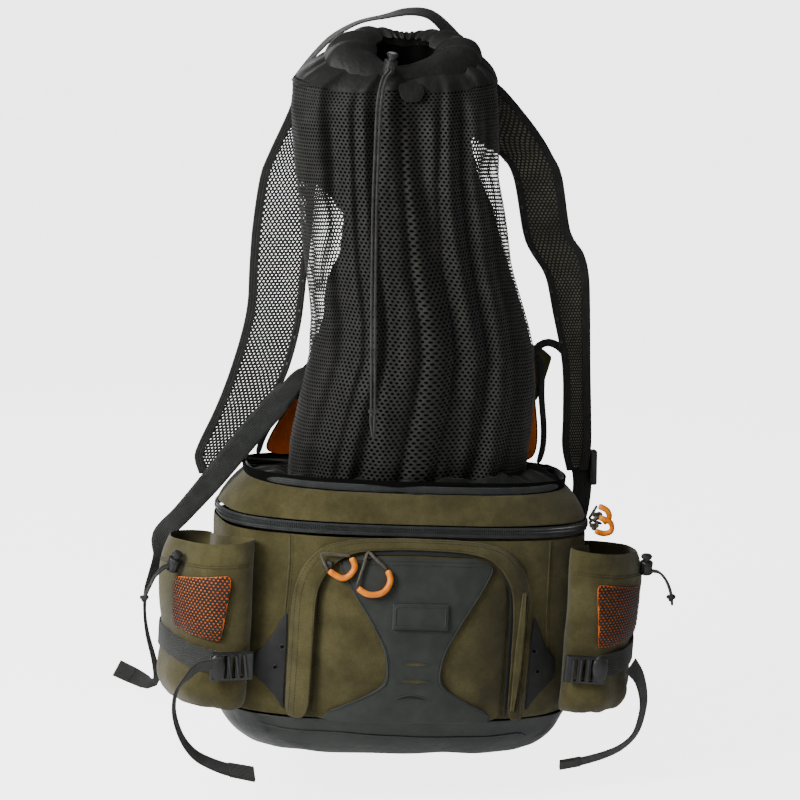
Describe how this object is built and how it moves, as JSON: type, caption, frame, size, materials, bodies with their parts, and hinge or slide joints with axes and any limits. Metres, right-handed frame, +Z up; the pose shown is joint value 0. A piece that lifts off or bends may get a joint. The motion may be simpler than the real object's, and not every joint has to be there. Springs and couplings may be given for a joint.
{
  "type": "hip pack",
  "caption": "Hip pack with side bottle pockets, arched front pocket, hip belt, shoulder straps and a tall mesh sack drawn up out of its open top, hung from its grab handle.",
  "frame": {"origin": "under the middle of the grab handle, where the hook or hand that holds the pack bears", "axes": "+Z up, -Y out of the front pocket, +X to the right of someone facing the front"},
  "size_m": [0.6091, 0.4295, 0.842],
  "materials": {
    "olive": "brushed suede-like olive brown cloth, matt",
    "charcoal": "matt charcoal coated cloth",
    "base": "semi-gloss dark coated cloth",
    "net": "black net and nylon",
    "webbing": "dark grey woven webbing",
    "zip": "dark grey zip tape",
    "plastic": "moulded black plastic",
    "lining": "bright orange lining",
    "tube": "soft orange tube",
    "cord": "thin olive grey cord"
  },
  "bodies": {
    "pack": {"back_panel": "net", "badge": "charcoal", "base_panel": "base", "belt_buckle_female": "plastic", "belt_buckle_male": "plastic", "belt_webbing_left": "webbing", "belt_webbing_right": "webbing", "belt_wing_left": "net", "belt_wing_right": "net", "collar_tab": "net", "expansion_zip": "zip", "front_arch": "olive", "front_panel": "charcoal", "front_pocket": "olive", "front_pull_1_cord": "cord", "front_pull_1_tube": "tube", "front_pull_2_cord": "cord", "front_pull_2_tube": "tube", "front_zip": "zip", "grab_handle": "webbing", "lid_lining": "lining", "lid_outer": "olive", "lid_zip": "zip", "main_body": "olive", "mesh_sack": "net", "pocket_cord_left": "net", "pocket_cord_right": "net", "pocket_left_lock": "plastic", "pocket_right_lock": "plastic", "pocket_window_left": "lining", "pocket_window_right": "lining", "rim_zip": "zip", "sack_collar": "net", "sack_cord": "net", "sack_lock": "plastic", "sack_skirt": "net", "shoulder_strap_left": "net", "shoulder_strap_right": "net", "side_buckle_left": "plastic", "side_buckle_right": "plastic", "side_pocket_left": "olive", "side_pocket_right": "olive", "side_pull_1_cord": "cord", "side_pull_1_tube": "tube", "side_pull_2_cord": "cord", "side_pull_2_tube": "tube", "side_strap_left": "webbing", "side_strap_right": "webbing", "side_tail_left": "webbing", "side_tail_right": "webbing", "strap_lock_right": "plastic", "strap_webbing_left": "webbing", "strap_webbing_right": "webbing", "upper_band": "olive", "wing_left": "charcoal", "wing_right": "charcoal"},
    "sack_press": {"sack_button": "plastic"},
    "left_press": {"pocket_left_button": "plastic"},
    "right_press": {"pocket_right_button": "plastic"}
  },
  "joints": [
    {"name": "sack_button_press", "type": "slide", "parent": "pack", "child": "sack_press", "axis": [-0.172, 0.2389, -0.9557], "range_m": [0, 0.003], "stiffness_N_per_m": 200, "springref_m": -0.001},
    {"name": "left_button_press", "type": "slide", "parent": "pack", "child": "left_press", "axis": [-0.3215, 0.2297, -0.9186], "range_m": [0, 0.003], "stiffness_N_per_m": 200, "springref_m": -0.001},
    {"name": "right_button_press", "type": "slide", "parent": "pack", "child": "right_press", "axis": [0, 0.0995, -0.995], "range_m": [0, 0.003], "stiffness_N_per_m": 200, "springref_m": -0.001}
  ]
}
